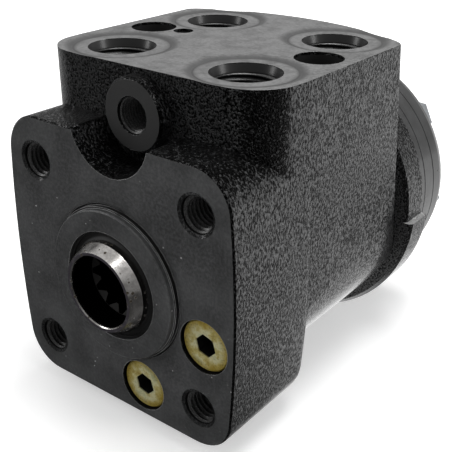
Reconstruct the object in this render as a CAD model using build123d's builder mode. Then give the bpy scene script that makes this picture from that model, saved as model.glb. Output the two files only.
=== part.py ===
from build123d import *
import os
from math import atan2, cos, degrees, hypot, radians, sin

# Orbital steering unit, in millimetres. The origin is the centre of the column bolt circle on the
# mounting face. +X is to the right seen from the steering column, +Y runs back along the spool axis
# and +Z is up, towards the port face.

# Fits and clearances
running_clearance = 0.05
seat_clearance = 0.05
thread_clearance = 0.05
screw_clearance = 0.2
gear_clearance = 0.12
overcut = 1.0

# Mounting flange
flange_depth = 39.0
flange_top = 42.1
flange_bottom = -41.5
flange_half_width = 41.5
flange_corner_half_width = 39.1
flange_corner_radius = 12.0
flange_rear_rounding = 6.5
flange_face_chamfer = 0.5
column_circle_radius = 41.275
column_thread_radius = 5.0
column_thread_depth = 18.0
column_mouth_chamfer = 1.0
column_mouth_angle = 120

# Pilot spigot and the seal seat in it
pilot_radius = 22.22
pilot_height = 2.56
pilot_chamfer = 0.3
pilot_foot_radius = 22.75
pilot_foot_height = 0.9
pilot_relief_radius = 23.45
pilot_relief_depth = 0.4
dust_seat_radius = 16.2
dust_seat_depth = 1.2
seal_lip_radius = 14.2
seal_groove_radius = 17.0
seal_groove_start = 3.0
seal_groove_end = 7.0

# Port block and body
block_front = 13.3
block_back = 92.5
block_top = 57.7
block_front_half_width = 39.0
block_top_half_width = 40.3
block_middle_half_width = 41.3
block_rear_half_width = 41.6
block_rear_corner = 80.0
block_side_middle = 52.0
block_front_rounding = 13.5
block_rear_rounding = 9.0
body_back = 98.0
body_half_width = 41.2
body_waist = -2.0
body_bottom = -38.0
body_bottom_rounding = 34.0
body_rear_corner = 95.0

# Round rear rim of the housing
rear_face = 100.0
rim_front = 88.5
rim_radius = 44.2
rim_foot_radius = 46.3
rim_ledge_height = -2.0
rim_front_bevel = 1.2
rim_rear_bevel = 0.4
neck_radius = 37.5
neck_start = 75.0

# Ports on top
port_offset = 22.05
port_depths = (29.18, 73.05)
port_floor = 57.08
port_spotface_radius = 14.1
port_spotface_mouth = 16.4
port_thread_radius = 9.0
port_mouth_radius = 9.78
port_mouth_depth = 2.4
port_thread_depth = 16.0
port_channel_radius = 4.0
channel_target_x = 10.0
channel_target_z = 14.0
fixing_hole_offset = 30.14
fixing_hole_depth_position = 51.4
fixing_mouth_radius = 6.96
fixing_mouth_depth = 8.0
fixing_thread_radius = 5.0
fixing_thread_end = 27.0
drain_hole = (-19.48, 52.96)
drain_hole_radius = 3.05
drain_hole_bottom = 40.0

# Load signal port in the scallop of the flange
signal_height = 45.9
signal_boss_radius = 10.3
signal_boss_face = 9.3
signal_boss_chamfer = 0.7
signal_scallop_height = 45.4
signal_scallop_radius = 14.05
signal_thread_radius = 5.0
signal_thread_depth = 12.0
signal_mouth_chamfer = 0.26
signal_channel_radius = 1.5
signal_channel_end = 50.0
scallop_edge_rounding = 1.2

# Spool bore and its ring grooves
bearing_start = 8.2
bore_radius = 19.05
ring_groove_radius = 22.5
ring_groove_width = 6.0
ring_groove_depths = (32.0, 46.0, 60.0, 74.0)

# Gear set: seven lobes in the rim, six on the wheel
rim_lobes = 7
lobe_start_angle = 90.0
lobe_circle_radius = 38.0
lobe_radius = 11.0
eccentricity = 3.0
rim_root_relief = 0.3
stack_radius = 42.0
plate_thickness = 6.3
gear_width = 6.5
cover_thickness = 7.4
cover_bevel_length = 2.4
cover_bevel_rise = 0.6
stack_bevel = 0.3

# Cover screws and washers
screw_circle_radius = 33.5
screw_radius = 4.0
screw_engagement = 10.5
screw_hole_extra = 0.6
screw_head_flats = 12.0
screw_head_height = 5.2
screw_head_turn = 18.0
screw_head_bevel = 0.6
washer_radius = 6.6
washer_thickness = 1.0

# Static O-rings between the stacked plates
stack_ring_radius = 39.6
stack_ring_width = 1.9
stack_ring_height = 1.5
stack_ring_rounding = 0.6

# Channels between the valve and the gear set
meter_channel_circle = 24.8
meter_channel_radius = 2.0
meter_channel_start = 80.0
plate_slot_outer_circle = 29.5
plate_bore_radius = 12.5

# Check valve and suction valves, in bores in the rear face
rear_valve_circle = 33.0
check_valve_index = 6
check_thread_radius = 5.0
check_ball_radius = 4.25
check_seat_radius = 3.0
check_lift = 1.5
check_bushing_length = 7.0
check_bushing_bore = 2.6
check_groove_index = 2
suction_valve_indices = {"right": 5, "left": 1}
suction_ball_radius = 4.0
suction_seat_radius = 2.6
suction_lift = 1.5
suction_stop_collar_length = 3.0
suction_stop_stem_radius = 1.5
suction_stop_stem_length = 4.5
suction_groove_index = 3
ball_clearance = 0.1

# Shock valves, in bores in the mounting face
shock_circle_radius = 32.24
shock_angles = {"lower": -74.95, "right": -15.05}
shock_mouth_radius = 8.0
shock_mouth_depth = 10.0
shock_bore_radius = 6.0
shock_bore_end = 34.0
shock_plug_radius = 7.78
shock_plug_face = 0.9
shock_plug_bevel = 0.5
shock_plug_socket_flats = 6.0
shock_plug_socket_depth = 5.0
shock_seal_thickness = 1.2
shock_setting_start = 11.0
shock_setting_length = 5.0
shock_setting_socket_flats = 4.0
shock_setting_socket_depth = 3.0
shock_seat_length = 3.5
shock_seat_bore = 2.2
shock_ball_radius = 3.2
shock_spring_coil_radius = 2.9
shock_spring_wire_radius = 0.55
shock_spring_turns = 6.0
shock_channel_radius = 1.8

# Spool, the inner valve
spool_radius = 14.4
spool_journal_radius = 13.4
spool_shoulder = 8.8
spool_nose = -7.0
spool_nose_radius = 11.8
spool_nose_base = -3.4
spool_end = 94.0
spool_entry_radius = 10.63
spool_bore_radius = 11.0
spline_teeth = 12
spline_major_radius = 10.4
spline_minor_radius = 8.73
spline_start = 1.0
spline_end = 19.0
spline_space_inner_width = 3.5
spline_space_outer_width = 1.4
spline_lead_in = 1.2
spool_groove_count = 6
spool_groove_width = 3.0
spool_groove_floor = 13.0
spool_groove_start = 50.0
spool_groove_end = 86.0
spool_port_radius = 1.5
spool_nose_inner_bevel = 0.3

# Sleeve, the outer valve
sleeve_start = 14.3
sleeve_end = 94.0
sleeve_port_radius = 1.5
sleeve_port_rows = {32.0: 6, 46.0: 6, 60.0: 6, 74.0: 6, 80.0: 12}
sleeve_groove_floor = 18.2
sleeve_groove_width = 5.0

# Centring springs and their ring
spring_depth = 24.5
spring_leaf_width = 5.0
spring_slot_height = 5.2
spring_slot_extra = 0.6
flat_leaf_thickness = 0.6
bowed_leaf_thickness = 0.45
bowed_leaf_rise = 1.0
leaf_gap = 0.04
spring_ring_inner_radius = 17.9
spring_ring_thickness = 0.9
spring_ring_width = 8.0

# Cross pin and cardan shaft
pin_depth = 38.0
pin_radius = 4.0
pin_end_gap = 0.3
pin_end_bevel = 0.5
spool_pin_hole_radius = 6.3
cardan_fork_radius = 8.4
cardan_fork_start = 31.0
cardan_fork_end = 48.0
cardan_neck_radius = 5.8
cardan_slot_clearance = 0.15
cardan_head_start = 105.0
cardan_tooth_start = 106.9
cardan_tooth_length = 3.4
cardan_spline_clearance = 0.28
wheel_spline_teeth = 12
wheel_spline_major_radius = 9.9
wheel_spline_minor_radius = 8.5
wheel_space_inner_width = 3.2
wheel_space_outer_width = 1.6

# Spacer disc
spacer_thickness = 1.9
spacer_radius = 8.2

# Shaft seal, dust seal and thrust bearing
dust_seal_height = 2.9
dust_seal_lip_height = 0.6
dust_seal_rim_width = 0.8
seal_ring_thickness = 1.3
race_thickness = 1.9
race_inner_radius = 14.6
needle_radius = 1.0
needle_length = 3.0
needle_count = 20
needle_circle_radius = 16.7
cage_thickness = 1.4
cage_inner_radius = 14.8
cage_outer_radius = 18.7

# Places worked out from the sizes above
plate_front = rear_face
gear_front = plate_front + plate_thickness
cover_front = gear_front + gear_width
cover_rear = cover_front + cover_thickness
head_seat = cover_rear + washer_thickness
lobe_angle_step = 360 / rim_lobes
rim_hollow_radius = lobe_circle_radius + 2 * eccentricity - lobe_radius + rim_root_relief
wheel_middle = gear_front + gear_width / 2
cardan_tilt = degrees(atan2(eccentricity, wheel_middle - pin_depth))
needle_middle = bearing_start + race_thickness + seat_clearance + needle_radius
rear_race_start = needle_middle + needle_radius + seat_clearance
column_pitch = 2 * column_circle_radius * cos(radians(45))

os.makedirs("parts", exist_ok=True)


# Plane across the unit at a depth behind the mounting face: its local x is X and its local y is Z.
def across(depth):
    return Plane.XZ.offset(-depth)


# Half section in the XY plane from (radius, depth) points, to be turned about the spool axis.
def half_section(*points):
    with BuildSketch(Plane.XY) as section:
        with BuildLine():
            Polyline(*points, close=True)
        make_face()
    return section.sketch


# Rectangle of a ring's half section, given by its two radii and two depths.
def ring_section(inner, outer, start, end):
    return half_section((inner, start), (outer, start), (outer, end), (inner, end))


# Place on a circle about the spool axis, as (x, z).
def on_circle(radius, angle):
    return (radius * cos(radians(angle)), radius * sin(radians(angle)))


# Direction halfway between two rim lobes, counted round from the lobe at the top.
def between_lobes(index):
    return lobe_start_angle + lobe_angle_step * (index + 0.5)


# Plane whose normal points outwards from the spool axis at one depth and angle.
def outward(depth, angle):
    x, z = on_circle(1, angle)
    return Plane(origin=(0, depth, 0), x_dir=(0, 1, 0), z_dir=(x, 0, z))


# Plane at one end of a straight drilling, and the drilling's length.
def drilling(start, end):
    run = Vector(*end) - Vector(*start)
    return Plane(origin=start, z_dir=run), run.length


# Spline as a sketch across the unit: a round core with tapered teeth or spaces standing out of it.
def spline_sketch(depth, teeth, core, tip, inner_width, outer_width, clearance=0.0):
    with BuildSketch(across(depth)) as outline:
        Circle(core - clearance)
        with PolarLocations(0, teeth, start_angle=lobe_start_angle):
            Polygon(
                (0, -inner_width / 2 + clearance),
                (core, -inner_width / 2 + clearance),
                (tip, -outer_width / 2 + clearance),
                (tip, outer_width / 2 - clearance),
                (core, inner_width / 2 - clearance),
                (0, inner_width / 2 - clearance),
                align=None,
            )
        Circle(tip - clearance, mode=Mode.INTERSECT)
    return outline.sketch


# Steel ball of a valve.
def make_ball(label, place, radius):
    x, z = place[0], place[2]
    with BuildPart(Plane(origin=(x, place[1], z))) as ball:
        Sphere(radius)
    ball.part.label = label
    export_step(ball.part, f"parts/{label}.step")


# Ring of rectangular section round the spool axis.
def make_ring(label, inner, outer, start, end):
    with BuildPart() as ring:
        revolve(ring_section(inner, outer, start, end), axis=Axis.Y)
    ring.part.label = label
    export_step(ring.part, f"parts/{label}.step")


# Squeezed O-ring in its groove, between two faces of the stack.
def make_stack_ring(label, start):
    with BuildPart() as ring:
        with BuildSketch(Plane.XY):
            with Locations((stack_ring_radius, start + stack_ring_height / 2)):
                RectangleRounded(
                    stack_ring_width - 2 * seat_clearance,
                    stack_ring_height - seat_clearance,
                    stack_ring_rounding,
                )
        revolve(axis=Axis.Y)
    ring.part.label = label
    export_step(ring.part, f"parts/{label}.step")


# Section of an O-ring groove cut into a face of the stack.
def stack_groove(start, end):
    inner = stack_ring_radius - stack_ring_width / 2
    return ring_section(inner, inner + stack_ring_width, start, end)


# Housing: the flange, the port block, the body and the rear rim are one casting
with BuildPart() as flange_blank:
    with BuildSketch(across(0)):
        with BuildLine():
            Line((-flange_corner_half_width, flange_bottom), (flange_corner_half_width, flange_bottom))
            ThreePointArc(
                (flange_corner_half_width, flange_bottom),
                (flange_half_width, 0),
                (flange_corner_half_width, flange_top),
            )
            Line((flange_corner_half_width, flange_top), (-flange_corner_half_width, flange_top))
            ThreePointArc(
                (-flange_corner_half_width, flange_top),
                (-flange_half_width, 0),
                (-flange_corner_half_width, flange_bottom),
            )
        make_face()
        fillet(vertices(), flange_corner_radius)
    extrude(amount=-flange_depth)
    chamfer(faces().sort_by(Axis.Y)[0].edges(), flange_face_chamfer)
    fillet(faces().sort_by(Axis.Y)[-1].edges(), flange_rear_rounding)

# Plan of the body at one height; its rear corners stand further back towards the bottom
def body_plan(height, rear_corner, back):
    with BuildSketch(Plane.XY.offset(height)) as plan:
        with BuildLine():
            Line((-block_front_half_width, block_front), (block_front_half_width, block_front))
            ThreePointArc(
                (block_front_half_width, block_front),
                (block_middle_half_width, block_side_middle),
                (block_rear_half_width, rear_corner),
            )
            ThreePointArc(
                (block_rear_half_width, rear_corner),
                (0, back),
                (-block_rear_half_width, rear_corner),
            )
            ThreePointArc(
                (-block_rear_half_width, rear_corner),
                (-block_middle_half_width, block_side_middle),
                (-block_front_half_width, block_front),
            )
        make_face()
        fillet(vertices().group_by(Axis.Y)[0], block_front_rounding)
        fillet(vertices().group_by(Axis.Y)[-1], block_rear_rounding)
    return plan.sketch


with BuildPart() as body_blank:
    loft(
        [
            body_plan(body_bottom, body_rear_corner, body_back),
            body_plan(block_top, block_rear_corner, block_back),
        ],
        ruled=True,
    )
    with BuildSketch(across(block_front - overcut)):
        with BuildLine():
            Polyline(
                (-block_top_half_width, block_top),
                (block_top_half_width, block_top),
                (body_half_width, body_waist),
                (body_half_width, body_bottom),
                (-body_half_width, body_bottom),
                (-body_half_width, body_waist),
                close=True,
            )
        make_face()
        fillet(vertices().group_by(Axis.Y)[0], body_bottom_rounding)
    extrude(amount=-(body_back - block_front + 2 * overcut), mode=Mode.INTERSECT)

# Wider foot of the rear rim, below a level ledge
with BuildPart() as rim_foot:
    revolve(
        half_section(
            (neck_radius, rim_front),
            (rim_foot_radius - rim_front_bevel, rim_front),
            (rim_foot_radius, rim_front + rim_front_bevel),
            (rim_foot_radius, rear_face - rim_rear_bevel),
            (rim_foot_radius - rim_rear_bevel, rear_face),
            (neck_radius, rear_face),
        ),
        axis=Axis.Y,
    )
    split(bisect_by=Plane.XY.offset(rim_ledge_height), keep=Keep.BOTTOM)

with BuildPart() as housing:
    add(flange_blank)
    add(body_blank)
    add(rim_foot)
    # Neck and round rear rim
    revolve(
        half_section(
            (0, neck_start),
            (neck_radius, neck_start),
            (neck_radius, rim_front),
            (rim_radius - rim_front_bevel, rim_front),
            (rim_radius, rim_front + rim_front_bevel),
            (rim_radius, rear_face - rim_rear_bevel),
            (rim_radius - rim_rear_bevel, rear_face),
            (0, rear_face),
        ),
        axis=Axis.Y,
    )
    # Scallop in the flange and the signal port's boss in it
    with BuildSketch(across(-overcut)):
        with Locations((0, signal_scallop_height)):
            Circle(signal_scallop_radius)
    extrude(amount=-(block_front + overcut), mode=Mode.SUBTRACT)
    fillet(
        edges()
        .filter_by(Axis.Y)
        .filter_by_position(Axis.Z, flange_top - overcut, flange_top + overcut)
        .filter_by_position(Axis.X, -signal_scallop_radius, signal_scallop_radius),
        scallop_edge_rounding,
    )
    with BuildSketch(across(signal_boss_face + signal_boss_chamfer)) as boss_outline:
        with Locations((0, signal_height)):
            Circle(signal_boss_radius)
    extrude(amount=signal_boss_chamfer, taper=45)
    extrude(
        boss_outline.sketch,
        amount=-(block_front - signal_boss_face - signal_boss_chamfer + overcut),
    )
    with Locations(across(signal_boss_face)):
        with Locations((0, signal_height)):
            CounterSinkHole(
                radius=signal_thread_radius,
                counter_sink_radius=signal_thread_radius + signal_mouth_chamfer,
                depth=signal_thread_depth,
                counter_sink_angle=90,
            )
    # Pilot spigot, with its relief in the mounting face
    revolve(
        half_section(
            (0, -pilot_height),
            (pilot_radius - pilot_chamfer, -pilot_height),
            (pilot_radius, -pilot_height + pilot_chamfer),
            (pilot_radius, -pilot_foot_height),
            (pilot_foot_radius, -pilot_foot_height),
            (pilot_foot_radius, pilot_relief_depth + overcut),
            (0, pilot_relief_depth + overcut),
        ),
        axis=Axis.Y,
    )
    revolve(
        ring_section(pilot_foot_radius, pilot_relief_radius, -overcut, pilot_relief_depth),
        axis=Axis.Y,
        mode=Mode.SUBTRACT,
    )
    # Spool bore from the seal seats to the rear face
    revolve(
        half_section(
            (0, -pilot_height - overcut),
            (dust_seat_radius, -pilot_height - overcut),
            (dust_seat_radius, dust_seat_depth),
            (seal_lip_radius, dust_seat_depth),
            (seal_lip_radius, seal_groove_start),
            (seal_groove_radius, seal_groove_start),
            (seal_groove_radius, seal_groove_end),
            (seal_lip_radius, seal_groove_end),
            (seal_lip_radius, bearing_start),
            (bore_radius, bearing_start),
            (bore_radius, rear_face + overcut),
            (0, rear_face + overcut),
        ),
        axis=Axis.Y,
        mode=Mode.SUBTRACT,
    )
    for groove_middle in ring_groove_depths:
        revolve(
            ring_section(
                bore_radius - overcut,
                ring_groove_radius,
                groove_middle - ring_groove_width / 2,
                groove_middle + ring_groove_width / 2,
            ),
            axis=Axis.Y,
            mode=Mode.SUBTRACT,
        )
    # Steering column holes
    with Locations(across(0)):
        with GridLocations(column_pitch, column_pitch, 2, 2):
            CounterSinkHole(
                radius=column_thread_radius,
                counter_sink_radius=column_thread_radius + column_mouth_chamfer,
                depth=column_thread_depth,
                counter_sink_angle=column_mouth_angle,
            )
    # Shock valve bores and their channels to the spool bore
    for shock_angle in shock_angles.values():
        with BuildSketch(across(0)):
            with Locations(on_circle(shock_circle_radius, shock_angle)):
                Circle(shock_mouth_radius)
        extrude(amount=-shock_mouth_depth, mode=Mode.SUBTRACT)
        with BuildSketch(across(0)):
            with Locations(on_circle(shock_circle_radius, shock_angle)):
                Circle(shock_bore_radius)
        extrude(amount=-shock_bore_end, mode=Mode.SUBTRACT)
        with BuildSketch(outward(ring_groove_depths[0], shock_angle)):
            Circle(shock_channel_radius)
        extrude(amount=shock_circle_radius, mode=Mode.SUBTRACT)
    # Four ports with spotfaces and cone mouths, each with its channel to a ring groove
    port_places = [(x, y) for y in port_depths for x in (-port_offset, port_offset)]
    for (port_x, port_y), groove_middle in zip(port_places, ring_groove_depths):
        with Locations((port_x, port_y, port_floor)):
            Cone(
                port_spotface_radius,
                port_spotface_mouth,
                block_top - port_floor,
                align=(Align.CENTER, Align.CENTER, Align.MIN),
                mode=Mode.SUBTRACT,
            )
            Cone(
                port_thread_radius,
                port_mouth_radius,
                port_mouth_depth,
                align=(Align.CENTER, Align.CENTER, Align.MAX),
                mode=Mode.SUBTRACT,
            )
            Cylinder(
                port_thread_radius,
                port_thread_depth,
                align=(Align.CENTER, Align.CENTER, Align.MAX),
                mode=Mode.SUBTRACT,
            )
        side = 1 if port_x > 0 else -1
        channel_plane, channel_length = drilling(
            (port_x, port_y, port_floor - port_thread_depth + overcut),
            (side * channel_target_x, groove_middle, channel_target_z),
        )
        with BuildSketch(channel_plane):
            Circle(port_channel_radius)
        extrude(amount=channel_length, mode=Mode.SUBTRACT)
    # Fixing holes and the drain hole beside them
    with Locations(Plane.XY.offset(block_top)):
        with Locations(
            (-fixing_hole_offset, fixing_hole_depth_position),
            (fixing_hole_offset, fixing_hole_depth_position),
        ):
            CounterBoreHole(
                radius=fixing_thread_radius,
                counter_bore_radius=fixing_mouth_radius,
                counter_bore_depth=fixing_mouth_depth,
                depth=block_top - fixing_thread_end,
            )
        with Locations(drain_hole):
            Hole(drain_hole_radius, depth=block_top - drain_hole_bottom)
    # Signal channel from the signal port to the drain hole
    signal_turn = (0, signal_channel_end, signal_height)
    for channel_start, channel_end in (
        ((0, signal_boss_face + signal_thread_depth - overcut, signal_height), signal_turn),
        (signal_turn, (*drain_hole, drain_hole_bottom + drain_hole_radius)),
    ):
        channel_plane, channel_length = drilling(channel_start, channel_end)
        with BuildSketch(channel_plane):
            Circle(signal_channel_radius)
        extrude(amount=channel_length, mode=Mode.SUBTRACT)
    # Meter channels from the spool bore to the gear set
    for channel_index in range(rim_lobes):
        channel_angle = between_lobes(channel_index)
        with BuildSketch(across(meter_channel_start)):
            with Locations(on_circle(meter_channel_circle, channel_angle)):
                Circle(meter_channel_radius)
        extrude(amount=-(rear_face - meter_channel_start), mode=Mode.SUBTRACT)
        with BuildSketch(outward(meter_channel_start, channel_angle)):
            Circle(meter_channel_radius)
        extrude(amount=meter_channel_circle, mode=Mode.SUBTRACT)
    # Tapped holes for the cover screws and the groove of the first O-ring
    with BuildSketch(across(rear_face)):
        with PolarLocations(screw_circle_radius, rim_lobes, start_angle=lobe_start_angle):
            Circle(screw_radius)
    extrude(amount=screw_engagement + screw_hole_extra, mode=Mode.SUBTRACT)
    revolve(stack_groove(rear_face - stack_ring_height, rear_face), axis=Axis.Y, mode=Mode.SUBTRACT)
    # Check valve: thread, ball chamber, seat and channel
    check_angle = between_lobes(check_valve_index)
    check_place = on_circle(rear_valve_circle, check_angle)
    check_chamber_end = rear_face - check_bushing_length - seat_clearance
    check_chamber_radius = check_ball_radius + ball_clearance
    check_chamber_start = check_chamber_end - check_lift - 2 * check_ball_radius
    check_channel_depth = ring_groove_depths[check_groove_index]
    for hole_radius, hole_start in (
        (check_thread_radius, check_chamber_end),
        (check_chamber_radius, check_chamber_start),
        (check_seat_radius, check_channel_depth),
    ):
        with BuildSketch(across(hole_start)):
            with Locations(check_place):
                Circle(hole_radius)
        extrude(amount=-(rear_face - hole_start), mode=Mode.SUBTRACT)
    with BuildSketch(outward(check_channel_depth, check_angle)):
        Circle(check_seat_radius)
    extrude(amount=rear_valve_circle, mode=Mode.SUBTRACT)
    # Suction valves: ball chamber, seat and channel
    suction_chamber_end = rear_face - suction_stop_collar_length - suction_stop_stem_length
    suction_chamber_start = suction_chamber_end - suction_lift - 2 * suction_ball_radius
    suction_channel_depth = ring_groove_depths[suction_groove_index]
    for valve_index in suction_valve_indices.values():
        suction_angle = between_lobes(valve_index)
        for hole_radius, hole_start in (
            (suction_ball_radius + ball_clearance, suction_chamber_start),
            (suction_seat_radius, suction_channel_depth),
        ):
            with BuildSketch(across(hole_start)):
                with Locations(on_circle(rear_valve_circle, suction_angle)):
                    Circle(hole_radius)
            extrude(amount=-(rear_face - hole_start), mode=Mode.SUBTRACT)
        with BuildSketch(outward(suction_channel_depth, suction_angle)):
            Circle(suction_seat_radius)
        extrude(amount=rear_valve_circle, mode=Mode.SUBTRACT)
housing.part.label = "housing"
export_step(housing.part, "parts/housing.step")

# Dust seal in the pilot's mouth, with a raised lip round the spool
dust_seal_outer = dust_seat_radius - seat_clearance
dust_seal_inner = spool_journal_radius + running_clearance
dust_seal_back = dust_seat_depth - seat_clearance
dust_seal_front = dust_seal_back - dust_seal_height
with BuildPart() as dust_seal:
    revolve(
        half_section(
            (dust_seal_outer, dust_seal_back),
            (dust_seal_outer, dust_seal_front),
            (dust_seal_outer - dust_seal_rim_width, dust_seal_front),
            (dust_seal_outer - dust_seal_rim_width, dust_seal_front + dust_seal_lip_height),
            (dust_seal_inner + dust_seal_rim_width, dust_seal_front + dust_seal_lip_height),
            (dust_seal_inner, dust_seal_front),
            (dust_seal_inner, dust_seal_back),
        ),
        axis=Axis.Y,
    )
dust_seal.part.label = "dust_seal"
export_step(dust_seal.part, "parts/dust_seal.step")

# Shaft seal ring on the spool and the O-ring that presses it inwards
seal_ring_inner = spool_journal_radius + running_clearance
seal_ring_outer = seal_ring_inner + seal_ring_thickness
make_ring(
    "shaft_seal_ring",
    seal_ring_inner,
    seal_ring_outer,
    seal_groove_start + seat_clearance,
    seal_groove_end - seat_clearance,
)
make_ring(
    "shaft_seal_o_ring",
    seal_ring_outer + seat_clearance,
    seal_groove_radius - seat_clearance,
    seal_groove_start + seat_clearance,
    seal_groove_end - seat_clearance,
)

# Thrust bearing: front race, caged needles and rear race
race_outer_radius = bore_radius - running_clearance
front_race_start = bearing_start + seat_clearance / 2
front_race_end = needle_middle - needle_radius - seat_clearance / 2
make_ring(
    "bearing_front_race", race_inner_radius, race_outer_radius, front_race_start, front_race_end
)
make_ring(
    "bearing_rear_race",
    race_inner_radius,
    race_outer_radius,
    rear_race_start - seat_clearance / 2,
    sleeve_start - seat_clearance,
)
with BuildPart() as bearing_cage:
    revolve(
        ring_section(
            cage_inner_radius,
            cage_outer_radius,
            needle_middle - cage_thickness / 2,
            needle_middle + cage_thickness / 2,
        ),
        axis=Axis.Y,
    )
    with BuildSketch(across(needle_middle - cage_thickness / 2)):
        with PolarLocations(needle_circle_radius, needle_count):
            Rectangle(needle_length + 2 * seat_clearance, 2 * needle_radius + 2 * seat_clearance)
    extrude(amount=-cage_thickness, mode=Mode.SUBTRACT)
bearing_cage.part.label = "bearing_cage"
export_step(bearing_cage.part, "parts/bearing_cage.step")
with BuildPart() as bearing_needles:
    for needle_index in range(needle_count):
        with BuildSketch(outward(needle_middle, 360 / needle_count * needle_index).offset(
            needle_circle_radius - needle_length / 2
        )):
            Circle(needle_radius)
        extrude(amount=needle_length)
bearing_needles.part.label = "bearing_needles"
export_step(bearing_needles.part, "parts/bearing_needles.step")

# Spool, the inner valve: splined nose, slots for the springs and play round the cross pin
spring_slot_width = spring_leaf_width + spring_slot_extra
with BuildPart() as spool:
    revolve(
        half_section(
            (0, spool_nose),
            (spool_nose_radius, spool_nose),
            (spool_journal_radius, spool_nose_base),
            (spool_journal_radius, spool_shoulder),
            (spool_radius, spool_shoulder),
            (spool_radius, spool_end),
            (0, spool_end),
        ),
        axis=Axis.Y,
    )
    with BuildSketch(across(spool_nose)):
        Circle(spool_entry_radius)
    extrude(amount=-(spline_start - spool_nose), mode=Mode.SUBTRACT)
    with BuildSketch(across(spline_end)):
        Circle(spool_bore_radius)
    extrude(amount=-(spool_end - spline_end), mode=Mode.SUBTRACT)
    chamfer(
        faces().sort_by(Axis.Y)[0].edges().sort_by(SortBy.RADIUS)[0],
        spool_nose_inner_bevel,
    )
    extrude(
        spline_sketch(
            spline_start,
            spline_teeth,
            spline_minor_radius,
            spline_major_radius,
            spline_space_inner_width,
            spline_space_outer_width,
        ),
        amount=spline_end - spline_start,
        dir=(0, 1, 0),
        mode=Mode.SUBTRACT,
    )
    revolve(
        half_section(
            (0, spline_start),
            (spline_major_radius, spline_start),
            (spline_minor_radius, spline_start + spline_lead_in),
            (0, spline_start + spline_lead_in),
        ),
        axis=Axis.Y,
        mode=Mode.SUBTRACT,
    )
    # Slots for the springs and the holes that leave the cross pin its play
    with BuildSketch(Plane.YZ):
        with Locations((spring_depth, 0)):
            Rectangle(spring_slot_width, spring_slot_height)
        with Locations((pin_depth, 0)):
            Circle(spool_pin_hole_radius)
    extrude(amount=spool_radius + overcut, both=True, mode=Mode.SUBTRACT)
    # Long grooves that carry the oil, each with a radial hole
    for groove_index in range(spool_groove_count):
        groove_plane = outward(0, 360 / spool_groove_count * (groove_index + 0.5))
        with BuildSketch(groove_plane.offset(spool_groove_floor)):
            with Locations(((spool_groove_start + spool_groove_end) / 2, 0)):
                SlotOverall(spool_groove_end - spool_groove_start, spool_groove_width)
        extrude(amount=spool_radius, mode=Mode.SUBTRACT)
        with BuildSketch(groove_plane):
            with Locations((spool_groove_start + spool_groove_width, 0)):
                Circle(spool_port_radius)
        extrude(amount=spool_radius, mode=Mode.SUBTRACT)
spool.part.label = "spool"
export_step(spool.part, "parts/spool.step")

# Sleeve, the outer valve
sleeve_outer = bore_radius - running_clearance
sleeve_inner = spool_radius + running_clearance
spring_ring_start = spring_depth - spring_ring_width / 2
with BuildPart() as sleeve:
    revolve(ring_section(sleeve_inner, sleeve_outer, sleeve_start, sleeve_end), axis=Axis.Y)
    # Recess for the retaining ring, open at the front
    revolve(
        ring_section(
            spring_ring_inner_radius - seat_clearance,
            sleeve_outer + overcut,
            sleeve_start - overcut,
            spring_ring_start + spring_ring_width + seat_clearance,
        ),
        axis=Axis.Y,
        mode=Mode.SUBTRACT,
    )
    revolve(
        ring_section(
            sleeve_groove_floor,
            sleeve_outer + overcut,
            ring_groove_depths[check_groove_index] - sleeve_groove_width / 2,
            ring_groove_depths[check_groove_index] + sleeve_groove_width / 2,
        ),
        axis=Axis.Y,
        mode=Mode.SUBTRACT,
    )
    with BuildSketch(Plane.YZ):
        with Locations((spring_depth, 0)):
            Rectangle(spring_slot_width, spring_slot_height)
        with Locations((pin_depth, 0)):
            Circle(pin_radius)
    extrude(amount=sleeve_outer + overcut, both=True, mode=Mode.SUBTRACT)
    for row_depth, row_count in sleeve_port_rows.items():
        for port_index in range(row_count):
            with BuildSketch(outward(row_depth, 360 / row_count * (port_index + 0.5))):
                Circle(sleeve_port_radius)
            extrude(amount=sleeve_outer + overcut, mode=Mode.SUBTRACT)
sleeve.part.label = "sleeve"
export_step(sleeve.part, "parts/sleeve.step")

# Ring that keeps the springs in their slots
make_ring(
    "spring_ring",
    spring_ring_inner_radius,
    spring_ring_inner_radius + spring_ring_thickness,
    spring_ring_start,
    spring_ring_start + spring_ring_width,
)

# Cross pin through spool and sleeve
pin_half_length = sleeve_outer - pin_end_gap
with BuildPart() as cross_pin:
    with BuildSketch(Plane.YZ):
        with Locations((pin_depth, 0)):
            Circle(pin_radius)
    extrude(amount=pin_half_length, both=True)
    chamfer(faces().filter_by(Axis.X).edges(), pin_end_bevel)
cross_pin.part.label = "cross_pin"
export_step(cross_pin.part, "parts/cross_pin.step")

# Centring springs: a flat pair with a bowed pair on each side of it
leaf_half_length = spring_ring_inner_radius - seat_clearance
leaf_start = spring_depth - spring_leaf_width / 2
with BuildPart() as flat_springs:
    with BuildSketch(across(leaf_start)):
        for side in (-1, 1):
            with Locations((0, side * (flat_leaf_thickness + leaf_gap) / 2)):
                Rectangle(2 * leaf_half_length, flat_leaf_thickness)
    extrude(amount=-spring_leaf_width)
flat_springs.part.label = "flat_springs"
export_step(flat_springs.part, "parts/flat_springs.step")

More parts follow.
